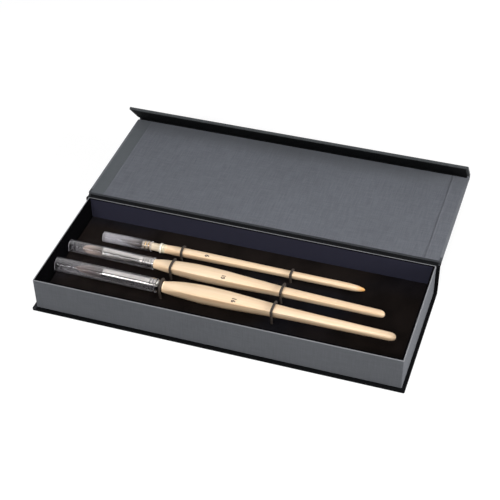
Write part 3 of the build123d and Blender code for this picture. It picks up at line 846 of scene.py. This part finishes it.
def over_brush(name, number, slide, least, rows=90, gap=0.00005, foot=0.0002):
    """A loop's middle line in metres, drawn tight over all that slides under it.

    The line is the edge of the smallest convex shape that holds its two feet and the handle's
    sections that pass, each spread by the cord's radius. It is read off as the point that lies
    furthest in each of many directions, and then walked in even steps.
    """
    low, high = loop_boxes[name]
    middle = (low[0] + high[0]) / 2
    station = tray_end + 1000 * middle
    points = grip(*np.array(grips[number]).T)[0]
    passing = points[(points[..., 0] > station - slide - 1) & (points[..., 0] < station + 1)]
    turn = np.linspace(0, 2 * np.pi, 32, endpoint=False)
    circle = np.stack((np.cos(turn), np.sin(turn)), -1)
    passing = np.concatenate((passing, np.insert(least * circle, 0, station, axis=1)))
    passing[:, 0] = station
    spread = laid(passing, number, grip_roll)[:, None, 1:] + (cord_radius + gap) * circle
    side = feet[2 * loops.index(name) : 2 * loops.index(name) + 2, 1]
    ends = np.column_stack((side, np.full(2, low[2] + foot)))
    every = np.concatenate((spread.reshape(-1, 2), ends))
    look = np.radians(np.linspace(250, -70, 400))
    line = every[np.argmax(every @ np.stack((np.cos(look), np.sin(look))), axis=0)]
    passed = walked(line)
    steps = np.linspace(0, passed[-1], rows)
    line = [np.interp(steps, passed, line[:, axis]) for axis in (0, 1)]
    return np.column_stack((np.full(rows, middle), *line))


elastic, tree, shader = finished("elastic", (0.040, 0.034, 0.029), 0.6, Specular_IOR_Level=0.4)
braid = wire(tree, "SeparateXYZ", {0: wire(tree, "UVMap", uv_map="braid").outputs[0]}).outputs
plait = 1.0
for strands in (6.0, -6.0):
    winding = combined(tree, "MULTIPLY_ADD", braid[1], strands, braid[0])
    wave = combined(tree, "SINE", combined(tree, "MULTIPLY", winding, 2 * math.pi))
    plait = combined(tree, "MULTIPLY", wave, plait)
plait = combined(tree, "MULTIPLY_ADD", plait, 0.5, 0.5)
fuzz = stretched(tree, (3000, 3000, 3000), 3)
strand = combined(tree, "MULTIPLY_ADD", fuzz, 0.4, combined(tree, "MULTIPLY", plait, 0.8))
dark, light = (0.009, 0.007, 0.0058), (0.056, 0.043, 0.035)
coloured(tree, shader, ramp(tree, strand, (0.2, dark), (0.9, light)))
relief(tree, shader, plait, 0.00015)
plait_length = 0.0011
slides = {1: 15.5, 2: 23.2, 3: 10.2}
windings_radius, beads_radius = 3.75, 4.62
beside_handle = {"1_head": windings_radius, "3_head": beads_radius}
for name in loops:
    short_name = name.removeprefix("elastic_loop_")
    number = int(short_name[0])
    path = over_brush(name, number, slides[number], beside_handle.get(short_name, 1))
    shape = swept(path, cord_radius)
    cord = outward(piece(f"cord_{short_name}", *shape, elastic, "elastic", "tray"))
    layer = cord.data.uv_layers.new(name="braid")
    corner = np.empty(len(cord.data.loops), dtype=np.int32)
    cord.data.loops.foreach_get("vertex_index", corner)
    along, around = np.divmod(corner, cord_sides)
    sides = around[: 4 * cord_sides * (len(path) - 1)].reshape(-1, 4)
    sides[(sides == 0) & (sides.max(axis=1) == cord_sides - 1)[:, None]] = cord_sides
    turns = np.stack((walked(path)[along] / plait_length, around / cord_sides), -1)
    layer.data.foreach_set("uv", turns.ravel())
    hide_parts(name)

# ---- Hair.
# Soft hair of the squirrel kind, some thousand tapered hairs to a head, bound in the ferrule so
# that they belly out from its mouth and close to a point, or in the flat brush to an edge.


def tuft(outline, seed, mouth, count=1300, short=0.16, hairs=0.075, rings=10):
    """Three-sided hairs round a solid core.

    A hair keeps its place across the bundle, a share of the outline's half-width and half-height,
    all the way, so the hairs part and close as the outline does. It tapers to a point, a little
    short of the tip by chance and by how far out it lies. The core is the outline drawn in by a
    sixth.
    """
    rng = np.random.default_rng(seed)
    stations, wide, high = np.array(outline, float).T
    tip, root, core_share = stations[0], mouth + 2.5, 0.84
    share = np.sqrt(rng.random(count))
    angle = 2 * np.pi * rng.random(count)
    lost = short * (mouth - tip) * (rng.random(count) ** 2) * (0.35 + 0.65 * share)
    step = np.linspace(0, 1, rings)
    x = root + (tip + 0.2 + lost - root)[:, None] * step
    sway = 0.07 * np.sin(step * 5 + angle[:, None] * 3)
    y = share[:, None] * np.interp(x, stations, wide) * np.cos(angle[:, None] + sway)
    z = share[:, None] * np.interp(x, stations, high) * np.sin(angle[:, None] + sway)
    thick = hairs * (0.75 + 0.5 * rng.random(count))[:, None] * (1.02 - step**2.2)
    side = 2 * np.pi * np.arange(3) / 3
    points = np.empty((count, rings, 3, 3))
    points[..., 0] = x[..., None]
    points[..., 1] = y[..., None] + thick[..., None] * np.cos(side)
    points[..., 2] = z[..., None] + thick[..., None] * np.sin(side)
    pattern = quads(rings, 3, round_columns=True)
    offset = np.arange(count)[:, None, None] * rings * 3
    faces = (pattern[None] + offset).reshape(-1, 4).tolist()
    ends = np.array([(2, 1, 0), (rings * 3 - 3, rings * 3 - 2, rings * 3 - 1)])
    faces += (ends[None] + offset).reshape(-1, 3).tolist()
    around, length = 24, 20
    turn = np.linspace(0, 2 * np.pi, around, endpoint=False)
    at = np.linspace(root, tip + 1.0, length)
    core = np.empty((length, around, 3))
    core[..., 0] = at[:, None]
    core[..., 1] = (core_share * np.interp(at, stations, wide))[:, None] * np.cos(turn)
    core[..., 2] = (core_share * np.interp(at, stations, high))[:, None] * np.sin(turn)
    base = count * rings * 3
    faces += (quads(length, around, round_columns=True) + base).tolist()
    faces.append((base + np.arange(around)[::-1]).tolist())
    faces.append((base + (length - 1) * around + np.arange(around)).tolist())
    return np.concatenate((points.reshape(-1, 3), core.reshape(-1, 3))), faces


def hair_finish(name, root, middle, tip, low, high):
    """Hair shaded from tip to root between two places on X, with streaks from hair to hair."""
    made, tree, shader = finished(name, middle, 0.42, Specular_IOR_Level=0.5)
    span = {"Value": coordinates(tree)[0], "From Min": low, "From Max": high}
    along = wire(tree, "MapRange", span).outputs[0]
    shade = stretched(tree, (20, 950, 950), 3)
    mixed = combined(tree, "MULTIPLY_ADD", shade, 2.2, combined(tree, "SUBTRACT", along, 1.1))
    coloured(tree, shader, ramp(tree, mixed, (0.15, tip), (0.5, middle), (0.9, root)))
    relief(tree, shader, shade, 0.00003)
    return made


# Each outline gives the distance from the tray's end, the half-width and the half-height.
mop = [
    (38.2, 0.05, 0.05), (41.0, 1.0, 1.0), (46.0, 2.1, 2.1), (52.0, 2.8, 2.8),
    (59.0, 2.5, 2.5), (65.0, 2.3, 2.3),
]
blade = [
    (15.7, 0.6, 0.12), (17.0, 2.1, 0.5), (21.0, 3.4, 1.0), (27.0, 3.8, 1.3),
    (33.3, 3.5, 1.3), (38.0, 3.2, 1.1),
]
round_mop = [
    (19.5, 0.05, 0.05), (21.0, 0.9, 0.9), (25.0, 2.25, 2.25), (31.0, 3.6, 3.6),
    (38.0, 4.2, 4.2), (44.7, 3.8, 3.8), (52.0, 3.7, 3.7),
]
squirrel = hair_finish(
    "squirrel", (0.02, 0.013, 0.010), (0.075, 0.055, 0.042), (0.03, 0.02, 0.015), -0.107, -0.086
)
flat_hair = hair_finish(
    "flat_hair", (0.045, 0.031, 0.022), (0.15, 0.108, 0.080), (0.32, 0.25, 0.20), -0.129, -0.111
)
round_hair = hair_finish(
    "round_hair", (0.03, 0.02, 0.018), (0.115, 0.083, 0.073), (0.26, 0.20, 0.175), -0.125, -0.100
)
mop_roll, blade_roll = 8.0, 38.0
for number, outline, mouth, made, slot, roll in (
    (1, mop, 59.0, squirrel, "dark_hair", mop_roll),
    (2, blade, 33.3, flat_hair, "brown_hair", blade_roll),
    (3, round_mop, 44.7, round_hair, "brown_hair", mop_roll),
):
    points, faces = tuft(outline, 11 * number, mouth)
    points = laid(points, number, roll)
    head_hair = piece(f"tuft_{number}", points, faces, made, slot, f"brush_{number}")
    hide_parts(f"brush_{number}_hair")

# ---- Tubes.
# Lengths of thin clear plastic tube, cut square, slipped over the heads to keep the hair in shape.
# They are open at both ends and a little scuffed.

clear_film, tree, shader = finished(
    "clear_film", (0.95, 0.94, 0.955), 0.04, Transmission_Weight=1.0, IOR=1.49
)
scuff = stretched(tree, (8, 700, 700), 2)
hazy = {"Value": scuff, "From Min": 0.45, "From Max": 0.8, "To Min": 0.0, "To Max": 0.03}
hazy = wire(tree, "MapRange", hazy).outputs[0]
tree.links.new(hazy, shader.inputs["Roughness"])
relief(tree, shader, stretched(tree, (5, 260, 260), 1), 0.000008)
passing = wire(tree, "BsdfTransparent", {"Color": (0.85, 0.84, 0.87, 1)})
shadow = wire(tree, "LightPath").outputs["Is Shadow Ray"]
milky = wire(tree, "BsdfDiffuse", {"Color": (0.42, 0.41, 0.43, 1)})
slant = wire(tree, "LayerWeight", {"Blend": 0.5}).outputs["Facing"]
veil = {"Value": slant, "From Min": 0.6, "From Max": 0.95, "To Min": 0.015, "To Max": 0.55}
veil = wire(tree, "MapRange", veil).outputs[0]
streak = between(tree, stretched(tree, (5, 520, 520), 1, (4, 1, 0)), 0.40, 0.66)
veil = combined(tree, "ADD", veil, combined(tree, "MULTIPLY", streak, 0.035))
spot = coordinates(tree)
# Painted reflection: the first tube is milkier near its brush's mouth, standing in for a lamp's
# reflection on the film.
near_mouth = between(tree, spot[0], -0.086, -0.104)
first_tube = between(tree, spot[1], 0.014, 0.016)
painted_lamp_reflection = combined(tree, "MULTIPLY", near_mouth, first_tube)
veil = combined(tree, "MULTIPLY_ADD", painted_lamp_reflection, 0.2, veil)
film = wire(tree, "MixShader", {0: veil, 1: shader.outputs[0], 2: milky.outputs[0]})
sawn = wire(tree, "BsdfDiffuse", {"Color": (0.62, 0.61, 0.64, 1)})
endwise = combined(tree, "ABSOLUTE", coordinates(tree, "Normal")[0])
at_cut = combined(tree, "GREATER_THAN", endwise, 0.9)
film = wire(tree, "MixShader", {0: at_cut, 1: film.outputs[0], 2: sawn.outputs[0]})
tube_surface = wire(tree, "MixShader", {0: shadow, 1: film.outputs[0], 2: passing.outputs[0]})
tree.links.new(tube_surface.outputs[0], tree.nodes["Material Output"].inputs["Surface"])
dress(clear_film, "tube_1", "tube_2", "tube_3")
